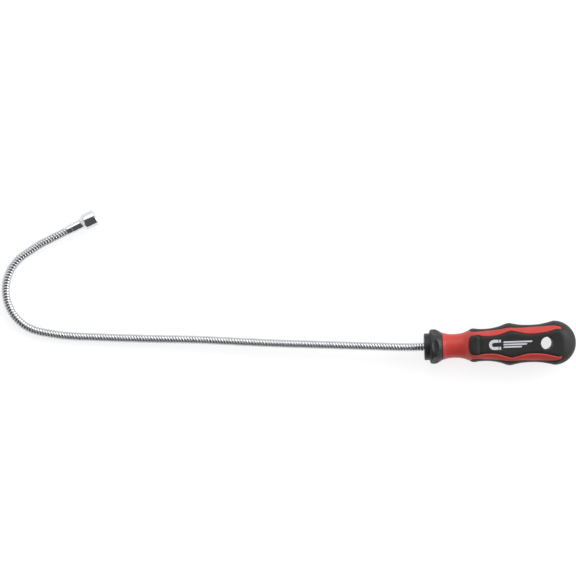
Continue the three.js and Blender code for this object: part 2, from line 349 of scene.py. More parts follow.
def makePlastic(name):
    spec, finish = plastics[name], plasticFinish
    material, tree, shader, vector = newMaterial(name, Coat_Weight=spec["coat"],
                                                  Coat_Roughness=finish["coatRough"],
                                                  Specular_IOR_Level=spec["gloss"])
    grain = addGroup(tree, "grain", vector, Scale=float(spec["grainScale"]))
    clouds = addGroup(tree, "clouds", vector, Scale=finish["cloudScale"])
    wear = addGroup(tree, "wear", vector, Edge=readEdge(tree, "edge"), Scale=finish["wearScale"])
    scratch = addGroup(tree, "scratches", vector, Scale=finish["scratchScale"])
    color = addMix(tree, grain["Tone"], spec["color"], spec["light"])
    mask = addMath(tree, "MULTIPLY", clouds["Mask"], finish["cloudShare"])
    color = addMix(tree, mask, color, spec["light"])
    mask = addMath(tree, "MULTIPLY", wear["Mask"], finish["wearShare"])
    color = addMix(tree, mask, color, spec["worn"])
    low, high = spec["rough"]
    rough = addRange(tree, clouds["Mask"], low, high)
    rough = addMath(tree, "ADD", rough, addMath(tree, "MULTIPLY", scratch["Mask"], finish["scratchRough"]))
    tree.links.new(color, shader.inputs["Base Color"])
    tree.links.new(rough, shader.inputs["Roughness"])
    normal = addBump(tree, grain["Height"], spec["grainDepth"])
    normal = addBump(tree, scratch["Height"], finish["scratchDepth"], normal)
    tree.links.new(normal, shader.inputs["Normal"])
    return material


# Metals: colour, darker tone for dirt and painted groove shade, roughness range and how deep the scratches
# are
metals = {
    "coilChrome": {"color": (0.62, 0.63, 0.65), "dirtAndShade": (0.10, 0.10, 0.10), "rough": (0.12, 0.24),
                   "scratch": 0.004},
    "springSteel": {"color": (0.42, 0.43, 0.45), "dirtAndShade": (0.06, 0.06, 0.06), "rough": (0.25, 0.40),
                    "scratch": 0.006},
    "headChrome": {"color": (0.76, 0.77, 0.79), "dirtAndShade": (0.30, 0.30, 0.31), "rough": (0.05, 0.13),
                   "scratch": 0.003},
    "magnetNickel": {"color": (0.52, 0.52, 0.53), "dirtAndShade": (0.22, 0.21, 0.20), "rough": (0.22, 0.38),
                     "scratch": 0.010},
    "spacerBrass": {"color": (0.68, 0.48, 0.20), "dirtAndShade": (0.28, 0.19, 0.09), "rough": (0.22, 0.36),
                    "scratch": 0.008},
    "sleeveSteel": {"color": (0.46, 0.46, 0.47), "dirtAndShade": (0.16, 0.15, 0.14), "rough": (0.30, 0.48),
                    "scratch": 0.012},
    "plateSteel": {"color": (0.38, 0.38, 0.39), "dirtAndShade": (0.14, 0.13, 0.12), "rough": (0.32, 0.50),
                   "scratch": 0.012},
}
# What all metals share: pattern scales, how much dirt shows, and what scratches and grooves add to roughness
metalFinish = {"cloudScale": 160.0, "scratchScale": 1600.0, "grooveScale": 900.0, "dirtShare": 0.12,
               "scratchRough": 0.05, "grooveRough": 0.25}


def makeMetal(name):
    spec, finish = metals[name], metalFinish
    material, tree, shader, vector = newMaterial(name, Metallic=1.0)
    clouds = addGroup(tree, "clouds", vector, Scale=finish["cloudScale"])
    scratch = addGroup(tree, "scratches", vector, Scale=finish["scratchScale"])
    grooveShade = addGroup(tree, "wear", vector, Edge=readEdge(tree, "grooveShade"), Scale=finish["grooveScale"])
    dirty = addMath(tree, "MULTIPLY", clouds["Mask"], finish["dirtShare"])
    worn = addMix(tree, dirty, spec["color"], spec["dirtAndShade"])
    # Painted shade and grime: deep in the coil's grooves the colour turns to the darker tone
    color = addMix(tree, grooveShade["Mask"], worn, spec["dirtAndShade"])
    low, high = spec["rough"]
    rough = addRange(tree, clouds["Mask"], low, high)
    rough = addMath(tree, "ADD", rough, addMath(tree, "MULTIPLY", scratch["Mask"], finish["scratchRough"]))
    grooved = addMath(tree, "MULTIPLY", grooveShade["Mask"], finish["grooveRough"])
    rough = addMath(tree, "ADD", rough, grooved, clamp=True)
    tree.links.new(color, shader.inputs["Base Color"])
    tree.links.new(rough, shader.inputs["Roughness"])
    tree.links.new(addBump(tree, scratch["Height"], spec["scratch"]), shader.inputs["Normal"])
    return material


materials = {name: makePlastic(name) for name in plastics}
materials.update({name: makeMetal(name) for name in metals})
print("materials made:", len(materials))


# Mesh helpers: points closer than the weld distance, in metres, become one
weld = 1e-7


def makeObject(name, points, faces, material, attributes=None, sharpAngle=38):
    mesh = bpy.data.meshes.new(name)
    mesh.from_pydata([tuple(p) for p in points], [], [tuple(int(i) for i in f) for f in faces])
    for label, values in (attributes or {}).items():
        layer = mesh.attributes.new(label, "FLOAT", "POINT")
        layer.data.foreach_set("value", np.asarray(values, np.float32).ravel())
    obj = bpy.data.objects.new(name, mesh)
    bpy.context.scene.collection.objects.link(obj)
    mesh.materials.append(materials[material])
    tidyMesh(obj, sharpAngle)
    return obj


def tidyMesh(obj, sharpAngle=38):
    work = bmesh.new()
    work.from_mesh(obj.data)
    bmesh.ops.remove_doubles(work, verts=work.verts, dist=weld)
    bmesh.ops.dissolve_degenerate(work, edges=work.edges, dist=weld)
    bmesh.ops.recalc_face_normals(work, faces=work.faces)
    work.to_mesh(obj.data)
    work.free()
    obj.data.polygons.foreach_set("use_smooth", [True] * len(obj.data.polygons))
    obj.data.set_sharp_from_angle(angle=math.radians(sharpAngle))
    obj.data.update()


def cutOrJoin(obj, other, operation):
    modifier = obj.modifiers.new("cut", "BOOLEAN")
    modifier.operation, modifier.object, modifier.solver = operation, other, "EXACT"
    bpy.context.view_layer.update()
    made = bpy.data.meshes.new_from_object(obj.evaluated_get(bpy.context.evaluated_depsgraph_get()))
    obj.modifiers.remove(modifier)
    obj.data = made
    bpy.data.objects.remove(other)
    tidyMesh(obj)


# The smooth curve through points that the CAD draws its outlines with
def smoothCurve(knots, steps=16):
    knots = np.array(knots, float)
    padded = np.vstack([knots[:1], knots, knots[-1:]])
    t = np.linspace(0, 1, steps, endpoint=False)[:, None]
    spans = []
    for a, b, c, d in zip(padded, padded[1:], padded[2:], padded[3:]):
        start, end = (c - a) / 2, (d - b) / 2
        cubic = (2 * b - 2 * c + start + end) * t**3
        square = (3 * c - 3 * b - 2 * start - end) * t**2
        spans.append(cubic + square + start * t + b)
    return np.vstack([*spans, knots[-1:]])


def smoothStep(value, low, high):
    t = np.clip((value - low) / (high - low), 0, 1)
    return t * t * (3 - 2 * t)


# A profile turned about a line: pairs are (place along, radius); it is a ring unless it ends on the line
def turnedObject(name, pairs, material, sides, origin=None, direction=None, shape=None, grooveShade=None):
    origin = Vector(origin if origin is not None else (frontX, 0, axisZ))
    turn = Vector((1, 0, 0)).rotation_difference(Vector(direction or (1, 0, 0)).normalized())
    pairs = np.array(pairs, float)
    angles = np.linspace(0, 2 * math.pi, sides, endpoint=False)
    along = np.repeat(pairs[:, :1], sides, 1)
    radius = np.repeat(pairs[:, 1:], sides, 1)
    if shape:
        along, radius = shape(along, radius, angles[None, :])
    local = np.stack([along, radius * np.cos(angles), radius * np.sin(angles)], 2).reshape(-1, 3) * mm
    spin = np.array(turn.to_matrix())
    points = local @ spin.T + np.array(origin)
    faces = []
    count = len(pairs)
    onAxis = pairs[0][1] == 0 and pairs[-1][1] == 0
    for i in range(count - 1 if onAxis else count):
        for j in range(sides):
            k, m = (i + 1) % count, (j + 1) % sides
            faces.append((i * sides + j, i * sides + m, k * sides + m, k * sides + j))
    values = {"grooveShade": np.repeat(grooveShade, sides)} if grooveShade is not None else None
    return makeObject(name, points, faces, material, values)


# Rounds the corners of a profile: a third number in a pair is how far from the corner that starts
def rounded(pairs, steps=5, edgeShare=0.48):
    out = []
    count = len(pairs)
    for i, item in enumerate(pairs):
        here = np.array(item[:2], float)
        if len(item) < 3:
            out.append(here)
            continue
        before = np.array(pairs[i - 1][:2], float) - here
        after = np.array(pairs[(i + 1) % count][:2], float) - here
        reach = min(item[2], edgeShare * np.linalg.norm(before), edgeShare * np.linalg.norm(after))
        first = here + before / np.linalg.norm(before) * reach
        last = here + after / np.linalg.norm(after) * reach
        for t in np.linspace(0, 1, steps):
            out.append((1 - t) ** 2 * first + 2 * t * (1 - t) * here + t**2 * last)
    return out


# Handle: outlines are (place, half width) points
handle = {
    "outline": [(13.8, 10.8), (18, 9.55), (23.5, 9.2), (29, 9.75), (33.5, 11.3), (36.2, 12.7), (38.5, 13.05),
                (41.5, 12.6), (46.5, 12.4), (52, 12.8), (58, 14.05), (63.5, 16.0), (66.2, 16.35), (69, 15.8),
                (75, 14.75), (82, 14.45), (89, 14.8), (95, 15.85), (100.3, 17.15)],
    "facePanel": [(36.7, 7.6), (39.5, 8.35), (42.2, 8.1), (44.6, 7.3), (50, 7.1), (55, 7.5), (61, 9.2),
                  (66.3, 10.85), (72, 9.65), (77.5, 8.3), (83, 7.9), (90, 8.35), (96, 9.5), (107.1, 12.6)],
    "sidePanel": [(38.5, 9.75), (39.5, 10.1), (44, 9.3), (48, 8.7), (55, 9.2), (60, 10.1), (66.3, 10.9),
                  (72, 10), (82, 8.55), (90, 8.9), (96, 9.8), (107.1, 12.2)],
    "bodyFront": 13.8, "faceStart": 33.7, "sideStart": 34.7, "bandEnd": 105.6, "tipLength": 1.5,
    "tipWidth": 2.9, "startHalf": 0.25, "startPower": 2.6, "squareAhead": 4, "squareOver": 8,
    "domeStart": 99.9, "domeRadius": 17.15, "fullHeight": 14.6, "squareness": 2.6, "flatReach": 3,
    "flatSoft": 0.22, "frontRound": 0.35, "bodyWear": 0.35, "gripWear": 0.4, "cutterGap": 0.3,
    "seam": 0.06, "grooveDepth": 1.45, "gripDepth": 1.35, "bodyRound": 0.45, "gripRound": 0.5,
    "slopeWidth": 2.3, "slopeDepth": 0.42, "dipAt": 42.4, "dipWidth": 1.2, "dipDepth": 0.65,
    "boreRadius": 6.7, "boreEnd": 82.3,
    "holeAt": 94.3, "holeRadius": 4.9, "liningRadius": 6.5, "mouthRound": 0.75,
}
outlineCurve = smoothCurve(handle["outline"])
faceCurve = smoothCurve(handle["facePanel"])
sideCurve = smoothCurve(handle["sidePanel"])
domeLength = buttAt - handle["domeStart"]


# Half width of a panel, with its blunt rounded start
def panelHalf(curve, start, place):
    place = start + abs(place - start)
    reach = curve[0][0] - start
    if place >= curve[0][0]:
        return float(np.interp(place, curve[:, 0], curve[:, 1]))
    share = (place - start) / reach
    rounding = math.sqrt(1 - (1 - share) ** handle["startPower"])
    return max(handle["startHalf"], curve[0][1] * rounding)


# Half width, half height and squareness of the grip's section at a place
def sectionAt(place):
    start = handle["faceStart"]
    squared = smoothStep(place, start - handle["squareAhead"], start + handle["squareOver"])
    if place <= handle["outline"][-1][0]:
        width = float(np.interp(place, outlineCurve[:, 0], outlineCurve[:, 1]))
    else:
        rise = (place - handle["domeStart"]) / domeLength
        width = handle["domeRadius"] * math.sqrt(max(0, 1 - rise**2))
    tall = handle["fullHeight"]
    if place > handle["domeStart"]:
        tall *= width / handle["domeRadius"]
    return width, width + (tall - width) * squared, 2 + (handle["squareness"] - 2) * squared


edgeSteps = np.array([0, 0.04, 0.13, 0.28, 0.5, 0.85, 1.3, 1.8, 2.4])
bandSteps = np.array([0, 0.04, 0.13, 0.28, 0.5])
panelColumns, bandColumns = 7, 6
# Limits on the columns: ahead and slantStep are millimetres, slant a steepness and samples a count;
# the rest are shares of the width, height or run that they limit
limit = {"ahead": 6, "face": 0.8, "side": 0.9, "tip": 0.3, "panel": 0.6, "band": 0.35, "slant": 5,
                "slantStep": 0.05, "samples": 80}
away = 99      # stands for no edge nearby, in millimetres


# Angles of one quarter's columns, top to side, and their distance from the seam
def quarterColumns(place):
    start, sideStart, end = handle["faceStart"], handle["sideStart"], handle["bandEnd"]
    used = min(max(place, start - limit["ahead"]), end + handle["tipLength"])
    width, high, power = sectionAt(used)
    face = min(panelHalf(faceCurve, start, used), limit["face"] * width)
    side = min(panelHalf(sideCurve, sideStart, used), limit["side"] * high)
    top = math.acos((face / width) ** (power / 2))
    low = math.asin((side / high) ** (power / 2))
    closing = min(1, abs(end - used) / handle["tipLength"])
    share = max(limit["tip"], math.sqrt(1 - (1 - closing) ** 2))
    middle = (top + low) / 2
    half = (max(top - low, 0) ** 4 + (handle["tipWidth"] / width) ** 4) ** 0.25 / 2 * share
    top, low = middle + half, middle - half
    face = width * math.cos(top) ** (2 / power)
    side = high * math.sin(low) ** (2 / power)

    def slant(curve, begin):
        step = limit["slantStep"]
        run = (panelHalf(curve, begin, used + step) - panelHalf(curve, begin, used - step)) / (2 * step)
        return min(limit["slant"], math.hypot(1, run))

    steps = edgeSteps + handle["seam"]
    faceScale = min(slant(faceCurve, start), limit["panel"] * face / steps[-1])
    sideScale = min(slant(sideCurve, sideStart), limit["panel"] * side / steps[-1])
    faceEdge = face - steps[::-1] * faceScale
    faceAcross = np.concatenate([np.linspace(0, faceEdge[0], panelColumns, endpoint=False), faceEdge, [face]])
    sideEdge = side - steps * sideScale
    sideAcross = np.concatenate([[side], sideEdge, np.linspace(sideEdge[-1], 0, panelColumns + 1)[1:]])
    angles = np.linspace(top, low, limit["samples"])
    line = np.stack([width * np.cos(angles) ** (2 / power), high * np.sin(angles) ** (2 / power)], 1)
    run = np.concatenate([[0], np.cumsum(np.linalg.norm(np.diff(line, axis=0), axis=1))])
    bandScale = min(1.0, limit["band"] * run[-1] / bandSteps[-1])
    near = bandSteps * bandScale
    inner = np.linspace(near[-1], run[-1] - near[-1], bandColumns + 1)[1:-1]
    bandRun = np.concatenate([near[1:], inner, (run[-1] - near)[::-1][:-1]])
    bandAngles = np.interp(bandRun, run, angles)
    allAngles = np.concatenate([np.arccos((faceAcross / width) ** (power / 2)), bandAngles,
                                np.arcsin(np.clip(sideAcross / high, 0, 1) ** (power / 2))])
    distance = np.concatenate([(face - faceAcross) / faceScale, np.minimum(bandRun, run[-1] - bandRun),
                               (side - sideAcross) / sideScale])
    return allAngles, distance


faceCount = panelColumns + len(edgeSteps)      # cells from the panel's middle to the band, the seam included
bandCount = len(bandSteps) * 2 + bandColumns - 2
quarterKinds = ["face"] * (faceCount - 1) + ["faceGap"] + ["band"] * bandCount
quarterKinds += ["sideGap"] + ["side"] * (faceCount - 1)


def handleRows():
    start, sideStart, end, front = (handle[k] for k in ("faceStart", "sideStart", "bandEnd", "bodyFront"))
    seam = handle["seam"]
    rows = [front + v for v in (0, 0.04, 0.13, 0.28, 0.5)] + list(np.linspace(front + 1, start - 1.1, 24))
    for edge in (start, sideStart):
        rows += [edge - v for v in (0, 0.04, 0.13, 0.28, 0.5)] + [edge + seam + v for v in edgeSteps[:7]]
    rows += list(np.arange(start + 3, end - handle["tipLength"] - 0.3, 0.72))
    rows += [end - handle["tipLength"] * v for v in (1, 0.85, 0.7, 0.5, 0.35)]
    rows += [end - v for v in (0, 0.04, 0.13, 0.28, 0.5)] + [end + seam + v for v in edgeSteps[:6]]
    first = math.asin((end + 2.0 - handle["domeStart"]) / domeLength)
    rows += [handle["domeStart"] + domeLength * math.sin(t) for t in np.linspace(first, math.pi / 2, 22)]
    rows = sorted(round(v, 5) for v in rows)
    return [v for i, v in enumerate(rows) if i == 0 or v - rows[i - 1] > 0.015]


rowPlaces = np.array(handleRows())
quarters = [quarterColumns(place) for place in rowPlaces]
sections = np.array([sectionAt(place) for place in rowPlaces])
quarterSize = len(quarters[0][0])
ringOf = [(j, 1, 1) for j in range(quarterSize - 1)]
ringOf += [(j, 1, -1) for j in range(quarterSize - 1, 0, -1)]
ringOf += [(j, -1, -1) for j in range(quarterSize - 1)]
ringOf += [(j, -1, 1) for j in range(quarterSize - 1, 0, -1)]
ringCount = len(ringOf)
columnIndex = np.array([item[0] for item in ringOf])
signY = np.array([item[1] for item in ringOf])
signZ = np.array([item[2] for item in ringOf])
ringAngles = np.array([q[0] for q in quarters])[:, columnIndex]
ringSeam = np.array([q[1] for q in quarters])[:, columnIndex]
ringKinds = [quarterKinds[min(ringOf[j][0], ringOf[(j + 1) % ringCount][0])] for j in range(ringCount)]
isFace = columnIndex < faceCount + 1
isSide = columnIndex >= quarterSize - faceCount - 1
isBand = ~isFace & ~isSide


# Points of the skin, sunk by an inset given for each row and column
def skinPoints(inset):
    inset = np.broadcast_to(inset, ringAngles.shape)
    place = rowPlaces[:, None]
    width, high, power = (sections[:, k][:, None] for k in range(3))
    start = handle["domeStart"]
    onDome = place > handle["outline"][-1][0]
    rise = np.clip((place - start) / domeLength, 0, 1)
    fall = np.sqrt(1 - rise**2)
    fall[-1] = 0     # the last row closes in a point
    along = np.where(onDome, start + (domeLength - inset) * rise, place)
    across = np.where(onDome, (handle["domeRadius"] - inset) * fall, width - inset)
    tall = np.where(onDome, (handle["fullHeight"] - inset) * fall, high - inset)
    y = across * np.cos(ringAngles) ** (2 / power) * signY
    z = tall * np.clip(np.sin(ringAngles), 0, 1) ** (2 / power)
    soft = handle["flatSoft"]
    flat = flatAt - inset
    z = np.where(z < flat - handle["flatReach"], z, flat - soft * np.log1p(np.exp(-(z - flat) / soft)))
    return np.stack([frontX + along * mm, y * mm, axisZ + z * signZ * mm], 2)


def fillet(distance, radius):
    return radius - np.sqrt(np.maximum(radius**2 - (radius - np.clip(distance, 0, radius)) ** 2, 0))


# Faces of the cells that are on, the walls round them, and what lies under or over them
def cellFaces(isOn, above, below, cover):
    faces = []
    rows, columns = isOn.shape
    for i in range(rows):
        for j in range(columns):
            k = (j + 1) % columns
            layer = above if isOn[i, j] else below
            if isOn[i, j] or cover:
                faces.append((layer + i * columns + j, layer + i * columns + k,
                              layer + (i + 1) * columns + k, layer + (i + 1) * columns + j))
            if isOn[i, j] and not cover:
                faces.append((below + i * columns + j, below + (i + 1) * columns + j,
                              below + (i + 1) * columns + k, below + i * columns + k))
            across = isOn[i, k] != isOn[i, j]
            if across:
                a, b = i * columns + k, (i + 1) * columns + k
                faces.append((above + a, above + b, below + b, below + a))
            if i + 1 < rows and isOn[i + 1, j] != isOn[i, j]:
                a, b = (i + 1) * columns + j, (i + 1) * columns + k
                faces.append((above + a, above + b, below + b, below + a))
            if not cover and isOn[i, j] and i == 0:
                faces.append((above + j, above + k, below + k, below + j))
    return faces


def cellMap(limits):
    cells = np.zeros((len(rowPlaces) - 1, ringCount), bool)
    for i in range(len(rowPlaces) - 1):
        for j, kind in enumerate(ringKinds):
            cells[i, j] = limits(kind, rowPlaces[i], rowPlaces[i + 1])
    return cells


def handleCutter(radius, name, mouth=0.0, half=None):
    reach = half or 1.5 * handle["domeRadius"]
    if mouth:
        edge = flatAt
        curve = [(edge - mouth + mouth * math.sin(t), radius + mouth * (1 - math.cos(t)))
                 for t in np.linspace(0, math.pi / 2 * 0.96, 8)]
        upper = [*curve, (reach, curve[-1][1] + 0.3), (reach, 0.0)]
        pairs = [(-a, r) for a, r in reversed(upper)] + upper
    else:
        pairs = [(-reach, 0.0), (-reach, radius), (reach, radius), (reach, 0.0)]
    place = (frontX + handle["holeAt"] * mm, 0, axisZ)
    return turnedObject(name, pairs, "gripBlack", 72, place, (0, 0, 1))


# Red body: neck and four bands proud, recessed where the soft grip lies over it
def makeBody():
    start, sideStart, end = handle["faceStart"], handle["sideStart"], handle["bandEnd"]

    def proud(kind, low, high):
        if kind in ("face", "faceGap"):
            return high <= start + 1e-6
        if kind in ("side", "sideGap"):
            return high <= sideStart + 1e-6
        return high <= end + 1e-6

    place = rowPlaces[:, None]
    toStart = np.where(isFace, start - place, np.where(isSide, sideStart - place, away))
    ahead = np.clip(toStart, 0, None)
    fromEdge = np.where(place < sideStart, np.hypot(ringSeam, np.clip(start - place, 0, None)), ringSeam)
    distance = np.where(isBand, np.minimum(fromEdge, end - place), ahead)
    isEdge = (columnIndex == faceCount) | (columnIndex == quarterSize - faceCount - 1)
    distance = np.where(isEdge & (place > start), 0, distance)
    inset = fillet(np.clip(distance, 0, None), handle["bodyRound"])
    inset = np.maximum(inset, fillet(np.clip(place - handle["bodyFront"], 0, None), handle["frontRound"]))
    above = skinPoints(inset)
    below = skinPoints(handle["grooveDepth"])
    bore = []
    radius = handle["boreRadius"] * mm
    angles = np.arctan2(above[0, :, 2] - axisZ, above[0, :, 1])
    for along in (handle["bodyFront"], handle["boreEnd"]):
        bore.append(np.stack([np.full(ringCount, frontX + along * mm), radius * np.cos(angles),
                              axisZ + radius * np.sin(angles)], 1))
    points = np.vstack([above.reshape(-1, 3), below.reshape(-1, 3), *bore,
                        [(frontX + handle["boreEnd"] * mm, 0, axisZ)]])
    total = above.shape[0] * ringCount
    faces = cellFaces(cellMap(proud), 0, total, True)
    mouth, inner, centre = 2 * total, 2 * total + ringCount, 2 * total + 2 * ringCount
    for j in range(ringCount):
        k = (j + 1) % ringCount
        faces += [(j, k, mouth + k, mouth + j), (mouth + j, mouth + k, inner + k, inner + j),
                  (inner + j, inner + k, centre)]
    edge = np.exp(-(np.clip(distance, 0, 9) / handle["bodyWear"]) ** 2)
    values = np.concatenate([edge.ravel(), np.zeros(total), np.zeros(2 * ringCount + 1)])
    body = makeObject("bodyMoulding", points, faces, "bodyRed", {"edge": values})
    cutOrJoin(body, handleCutter(handle["liningRadius"] + handle["cutterGap"], "bodyCutter"), "DIFFERENCE")
    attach(body, "handle")
    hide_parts("handle_body")


# Soft grip: four panels that join in the dome, one moulding with the hang hole's lining
def makeGrip():
    seam = handle["seam"]
    start, sideStart, end = (handle[k] + seam for k in ("faceStart", "sideStart", "bandEnd"))

    def covered(kind, low, high):
        if kind == "face":
            return low >= start - 1e-6
        if kind == "side":
            return low >= sideStart - 1e-6
        return low >= end - 1e-6

    place = rowPlaces[:, None]
    alongFace = np.where(isFace, place - start, place - sideStart)
    fromEdge = ringSeam - seam
    onPanel = np.minimum(alongFace, np.where(place < end, fromEdge, away))
    behind = np.where(isBand | (ringSeam < seam), place - end, away)
    distance = np.clip(np.where(place < end, np.where(isBand, 0, onPanel), behind), 0, None)
    inset = fillet(distance, handle["gripRound"])
    slope = 1 - smoothStep(np.clip(distance - 0.2, 0, None), 0, handle["slopeWidth"])
    inBody = 1 - smoothStep(place, end - 6, end - 1)
    inset = inset + handle["slopeDepth"] * slope * inBody * smoothStep(place, start + 2, start + 9)
    dip = np.exp(-(((place - handle["dipAt"]) / handle["dipWidth"]) ** 2))
    inset = inset + np.where(isFace, handle["dipDepth"] * dip, 0)
    above = skinPoints(inset)
    below = skinPoints(handle["gripDepth"])
    total = above.shape[0] * ringCount
    points = np.vstack([above.reshape(-1, 3), below.reshape(-1, 3)])
    edge = np.exp(-((np.clip(distance, 0, 9) / handle["gripWear"]) ** 2))
    values = np.concatenate([edge.ravel(), np.zeros(total)])
    faces = cellFaces(cellMap(covered), 0, total, False)
    grip = makeObject("gripMoulding", points, faces, "gripBlack", {"edge": values})
    dropLoose(grip)
    lining = handleCutter(handle["liningRadius"], "lining", half=flatAt - handle["cutterGap"])
    cutOrJoin(grip, lining, "UNION")
    cutOrJoin(grip, handleCutter(handle["holeRadius"], "holeCutter", handle["mouthRound"]), "DIFFERENCE")
    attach(grip, "handle")
    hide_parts("grip_overmould")


def dropLoose(obj):
    work = bmesh.new()
    work.from_mesh(obj.data)
    bmesh.ops.delete(work, geom=[v for v in work.verts if not v.link_faces], context="VERTS")
    work.to_mesh(obj.data)
    work.free()


# Black core: stub, scalloped collar and the rod inside the body
core = {
    "stubRadius": 10.35, "stubLength": 4, "collarRadius": 13.35, "collarEnd": 13.5, "rodRadius": 6.4,
    "rodEnd": 82, "boreRadius": 3.6, "sleeveBore": 5.0, "sleeveAt": 2.1, "sleeveEnd": 33.6,
    "scallops": 6, "scallopAt": 8.2, "scallopLength": 5.4, "scallopWidth": 11.0, "scallopDepth": 1.15,
    "scallopSoft": 0.06, "sides": 216,
}


def makeCore():
    stub, collar, end = core["stubLength"], core["collarRadius"], core["collarEnd"]
    curve = smoothCurve([(stub + 0.25, collar - 1.5), (stub + 0.45, collar - 0.75),
                         (stub + 1.2, collar - 0.2), (stub + 2.6, collar), (end - 4.8, collar - 0.1),
                         (end - 3.2, collar - 0.7), (end - 1.6, collar - 1.6),
                         (end - 0.2, collar - 2.5)], 9)
    pairs = rounded([(core["sleeveEnd"], 0), (core["sleeveEnd"], core["sleeveBore"]),
                     (core["sleeveAt"], core["sleeveBore"]), (core["sleeveAt"], core["boreRadius"]),
                     (0, core["boreRadius"], 0.35), (0, core["stubRadius"], 0.6),
                     (stub, core["stubRadius"], 0.25), (stub, collar - 2.1, 0.2)])
    pairs += list(curve)
    pairs += [(end, collar - 2.75), (end, core["rodRadius"]),
              (core["rodEnd"], core["rodRadius"]), (core["rodEnd"], 0)]

    def shape(along, radius, angles):
        turn = 2 * math.pi / core["scallops"]
        nearest = np.mod(angles - math.pi / 2 + turn / 2, turn) - turn / 2
        across = nearest * collar / (core["scallopWidth"] / 2)
        lengthwise = (along - core["scallopAt"]) / (core["scallopLength"] / 2)
        inside = 1 - across**2 - lengthwise**2
        soft = core["scallopSoft"]
        dent = core["scallopDepth"] * soft * np.log1p(np.exp(np.clip(inside / soft, -30, 30)))
        onCollar = (radius > core["stubRadius"] + 0.6) & (along < end - 0.1)
        return along, np.where(onCollar, radius - dent, radius)

    made = turnedObject("coreMoulding", pairs, "coreBlack", core["sides"], shape=shape)
    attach(made, "handle")
    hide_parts("handle_core")


# Printed mark: a plain horseshoe magnet and three plain bars, in thin ink on the front panel
mark = {
    "magnetAt": 54.0, "magnetShift": 0.8, "magnetRadius": 3.9, "magnetSteps": 28, "armWidth": 2.3,
    "armLength": 3.4, "poleLength": 1.4, "poleGap": 0.5,
    "bars": [(60.5, 82.5, 1.9), (60.5, 78.5, 0.0), (60.5, 74.5, -1.9)], "barHeight": 1.15, "slant": 0.35,
    "ink": 0.05,
}


def makeMark():
    radius, arm = mark["magnetRadius"], mark["armWidth"]
    centre = mark["magnetAt"] - mark["magnetShift"]
    turns = np.linspace(math.pi / 2, 3 * math.pi / 2, mark["magnetSteps"])
    outer = [(centre + radius * math.cos(t), radius * math.sin(t)) for t in turns]
    inner = [(centre + (radius - arm) * math.cos(t), (radius - arm) * math.sin(t)) for t in turns[::-1]]
    stop = centre + mark["armLength"]
    outlines = [[(stop, radius), *outer, (stop, -radius), (stop, arm - radius), *inner, (stop, radius - arm)]]
    pole = stop + mark["poleGap"]
    for sign in (1, -1):
        outlines.append([(pole, sign * radius), (pole + mark["poleLength"], sign * radius),
                         (pole + mark["poleLength"], sign * (radius - arm)), (pole, sign * (radius - arm))])
    for begin, end, y in mark["bars"]:
        half, lean = mark["barHeight"] / 2, mark["slant"]
        outlines.append([(begin + lean, y + half), (end + lean, y + half), (end - lean, y - half),
                         (begin - lean, y - half)])
    points, faces = [], []
    top, bottom = 2 * axisZ + mark["ink"] * mm, 2 * axisZ - mark["ink"] * mm
    for outline in outlines:
        base, count = len(points), len(outline)
        points += [(frontX + x * mm, y * mm, top) for x, y in outline]
        points += [(frontX + x * mm, y * mm, bottom) for x, y in outline]
        faces += [tuple(range(base, base + count)), tuple(range(base + 2 * count - 1, base + count - 1, -1))]
        faces += [(base + i, base + (i + 1) % count, base + count + (i + 1) % count, base + count + i)
                  for i in range(count)]
    made = makeObject("printedMark", points, faces, "printWhite", {"edge": np.zeros(len(points))})
    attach(made, "handle")


# Gooseneck: a crowned wire wedged between the turns of a round spring wire, both wound as real helices
neck = {
    "pitch": 2.17, "rootDepth": 30, "profileSteps": 24, "roundSteps": 16,
    "profile": [(-0.96, 2.74), (-0.89, 3.02), (-0.58, 3.22), (-0.18, 3.3), (0.18, 3.3), (0.58, 3.22),
                (0.89, 3.02), (0.96, 2.74), (0.45, 2.1), (0, 1.78), (-0.45, 2.1)],
    "roundPhase": 0.5, "grooveFrom": 2.3, "grooveOver": 0.85, "sharpAngle": 60,
    "rootSteps": 12, "bendSteps": 33, "tipSteps": 9,
    "roundRadius": 0.55, "roundAt": 1.95, "roundSides": 8,
    "lastReach": 14, "ferruleDepth": 7.7, "ferruleGap": 0.3,
}


def neckPath():
    joints = frame["joints"]
    pivots = [Vector(j["pos_m"]) for j in joints]
    front = Vector((frontX, 0, axisZ))
    inside = front + Vector((neck["rootDepth"] * mm, 0, 0))
    ahead = Vector(mounts["magnet_face"]["axis"]).normalized()
    middles = [(front + pivots[0]) / 2]
    middles += [(a + b) / 2 for a, b in zip(pivots, pivots[1:])]
    middles.append(pivots[-1] + ahead * neck["lastReach"] * mm / 2)
    tip = pivots[-1] + ahead * (neck["lastReach"] + neck["ferruleDepth"]) * mm
    pieces = [[inside.lerp(middles[0], t) for t in np.linspace(0, 1, neck["rootSteps"])]]
    for i, pivot in enumerate(pivots):
        a, b = middles[i], middles[i + 1]
        curve = [a * (1 - t) ** 2 + pivot * 2 * t * (1 - t) + b * t**2
                 for t in np.linspace(0, 1, neck["bendSteps"])]
        if i == len(pivots) - 1:
            curve += [b.lerp(tip, t) for t in np.linspace(0, 1, neck["tipSteps"])[1:]]
        pieces.append(curve)
    bodies = [(j["parent"], j["child"]) for j in joints]
    return pieces, middles, bodies


# Distance, place and a frame that doesn't twist, all the way along the gooseneck
def neckFrames(pieces):
    line = [np.array(pieces[0][0])]
    ends = [0]
    for piece in pieces:
        line += [np.array(p) for p in piece[1:]]
        ends.append(len(line) - 1)
    line = np.array(line)
    run = np.concatenate([[0], np.cumsum(np.linalg.norm(np.diff(line, axis=0), axis=1))])
    tangent = np.gradient(line, run, axis=0)
    tangent /= np.linalg.norm(tangent, axis=1)[:, None]
    side = [np.array([0, 0, 1.0])]
    for i in range(1, len(line)):
        moved = side[-1] - tangent[i] * (side[-1] @ tangent[i])
        side.append(moved / np.linalg.norm(moved))
    side = np.array(side)
    return run, line, tangent, side, np.cross(tangent, side), run[ends]


